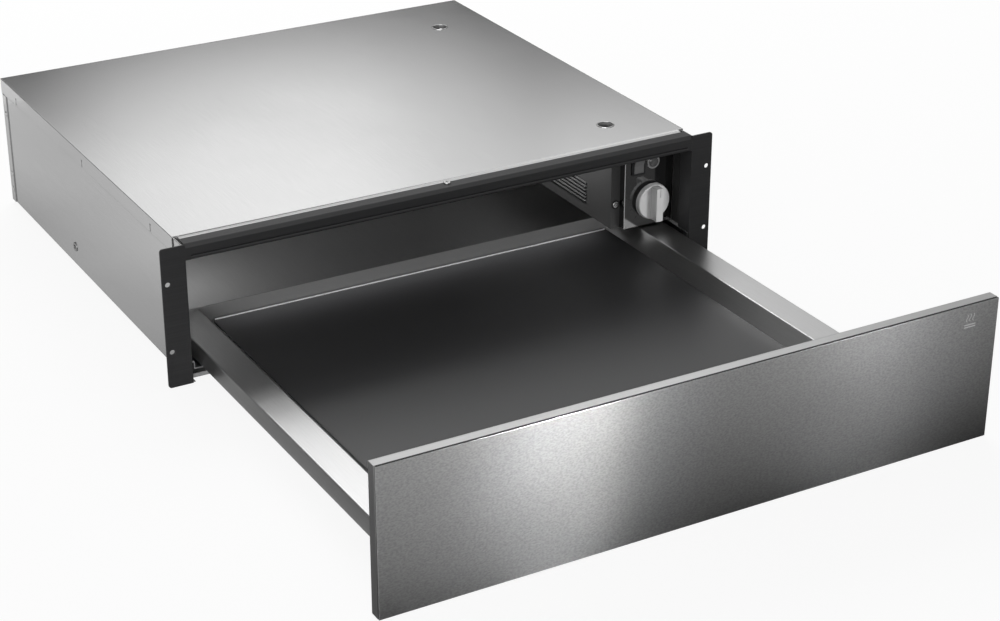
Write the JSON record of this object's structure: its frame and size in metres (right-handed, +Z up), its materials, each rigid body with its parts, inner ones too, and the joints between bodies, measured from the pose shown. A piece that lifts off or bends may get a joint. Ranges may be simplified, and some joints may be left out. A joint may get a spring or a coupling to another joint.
{
  "type": "built-in warming drawer",
  "caption": "Built-in warming drawer: steel casing with a heated side compartment, a shallow drawer on telescopic ball runners and a flush steel front.",
  "frame": {"origin": "centre of the rectangle of the four cabinet fixing holes, in the front plane of the side flanges", "axes": "+X to the right seen from the front, +Y into the niche, +Z up; the drawer opens towards -Y and is drawn fully open"},
  "size_m": [0.594, 0.933, 0.1431],
  "materials": {
    "casing_steel": "satin galvanised sheet",
    "black_coat": "satin black coated sheet",
    "dark_sheet": "satin stainless sheet in shade",
    "polished_panel": "polished",
    "zinc_screws": "bright zinc",
    "knob_metal": "satin metallised",
    "shaft_steel": "turned",
    "black_plastic": "fine grain",
    "rocker_plastic": "satin",
    "lamp_ring": "bright",
    "lamp_glass": "clear, unlit",
    "pale_moulding": "moulded",
    "galvanised": "galvanised",
    "fan_alloy": "pressed",
    "lamination": "varnished",
    "winding": "enamelled winding under varnish",
    "heater_sheath": "heat-darkened",
    "runner_zinc": "bright zinc",
    "ball_steel": "hardened and polished",
    "buffer_rubber": "matte",
    "drawer_steel": "bright stainless",
    "mat_rubber": "satin",
    "front_stainless": "fine grained stainless",
    "bond_black": "matte",
    "pan_black": "satin",
    "inner_steel": "galvanised",
    "insulation": "mineral board"
  },
  "bodies": {
    "casing": {"casing_shell": "casing_steel", "casing_cover": "casing_steel", "rear_panel": "casing_steel", "flange_left": "black_coat", "flange_right": "black_coat", "top_rail": "black_coat", "casing_screws": "zinc_screws", "control_housing": "dark_sheet", "control_panel": "polished_panel", "regulator": "pale_moulding", "regulator_nut": "zinc_screws", "rocker_bezel": "black_plastic", "lamp_bezel": "lamp_ring", "lamp_lens": "lamp_glass", "fan_scroll": "galvanised", "fan_motor": "lamination", "motor_coil": "winding", "heating_element": "heater_sheath", "heater_holder": "galvanised", "thermal_cutout": "black_plastic", "terminal_block": "pale_moulding", "cable_bushing": "black_plastic", "side_nuts": "zinc_screws", "casing_rivets": "zinc_screws", "latch_body": "black_plastic", "latch_spring": "shaft_steel", "runner_bracket_left": "galvanised", "runner_bracket_right": "galvanised", "cabinet_member_left": "runner_zinc", "cabinet_member_right": "runner_zinc", "runner_buffers": "buffer_rubber"},
    "drawer": {"drawer_tray": "drawer_steel", "drawer_mat": "mat_rubber", "front_skin": "front_stainless", "front_bond": "bond_black", "front_pan": "pan_black", "front_inner": "inner_steel", "front_board": "insulation", "front_brackets": "galvanised", "front_screws": "zinc_screws", "latch_striker": "galvanised", "hangers": "galvanised", "drawer_member_left": "runner_zinc", "drawer_member_right": "runner_zinc"},
    "middle_left": {"middle_member_left": "runner_zinc"},
    "middle_right": {"middle_member_right": "runner_zinc"},
    "outer_race_left": {"outer_cage_left": "runner_zinc", "outer_balls_left": "ball_steel"},
    "outer_race_right": {"outer_cage_right": "runner_zinc", "outer_balls_right": "ball_steel"},
    "inner_race_left": {"inner_cage_left": "runner_zinc", "inner_balls_left": "ball_steel"},
    "inner_race_right": {"inner_cage_right": "runner_zinc", "inner_balls_right": "ball_steel"},
    "knob": {"knob": "knob_metal", "knob_shaft": "shaft_steel"},
    "rocker": {"rocker_button": "rocker_plastic"},
    "fan": {"fan_wheel": "fan_alloy", "motor_rotor": "shaft_steel"},
    "plunger": {"latch_plunger": "pale_moulding"}
  },
  "joints": [
    {"name": "drawer_slide", "type": "slide", "parent": "casing", "child": "drawer", "axis": [0, -1, 0], "range_m": [-0.413, 0]},
    {"name": "middle_left_slide", "type": "slide", "parent": "casing", "child": "middle_left", "axis": [0, -1, 0], "range_m": [-0.2065, 0]},
    {"name": "outer_race_left_slide", "type": "slide", "parent": "casing", "child": "outer_race_left", "axis": [0, -1, 0], "range_m": [-0.10325, 0]},
    {"name": "inner_race_left_slide", "type": "slide", "parent": "casing", "child": "inner_race_left", "axis": [0, -1, 0], "range_m": [-0.30975, 0]},
    {"name": "middle_right_slide", "type": "slide", "parent": "casing", "child": "middle_right", "axis": [0, -1, 0], "range_m": [-0.2065, 0]},
    {"name": "outer_race_right_slide", "type": "slide", "parent": "casing", "child": "outer_race_right", "axis": [0, -1, 0], "range_m": [-0.10325, 0]},
    {"name": "inner_race_right_slide", "type": "slide", "parent": "casing", "child": "inner_race_right", "axis": [0, -1, 0], "range_m": [-0.30975, 0]},
    {"name": "knob_turn", "type": "hinge", "parent": "casing", "child": "knob", "pos_m": [0.2436, 0.0325, -0.0054], "axis": [0, 1, 0], "range_deg": [0, 270]},
    {"name": "rocker_tilt", "type": "hinge", "parent": "casing", "child": "rocker", "pos_m": [0.2285, 0.0335, 0.0344], "axis": [1, 0, 0], "range_deg": [-16, 0]},
    {"name": "fan_spin", "type": "hinge", "parent": "casing", "child": "fan", "pos_m": [0.222, 0.133, 0.01775], "axis": [1, 0, 0], "continuous": true},
    {"name": "latch_push", "type": "slide", "parent": "casing", "child": "plunger", "axis": [0, -1, 0], "range_m": [0, 0.01], "deforming": ["latch_spring"]}
  ],
  "couplings": [
    {"joint": "middle_left_slide", "follows": "drawer_slide", "ratio": 0.5},
    {"joint": "outer_race_left_slide", "follows": "drawer_slide", "ratio": 0.25},
    {"joint": "inner_race_left_slide", "follows": "drawer_slide", "ratio": 0.75},
    {"joint": "middle_right_slide", "follows": "drawer_slide", "ratio": 0.5},
    {"joint": "outer_race_right_slide", "follows": "drawer_slide", "ratio": 0.25},
    {"joint": "inner_race_right_slide", "follows": "drawer_slide", "ratio": 0.75}
  ]
}
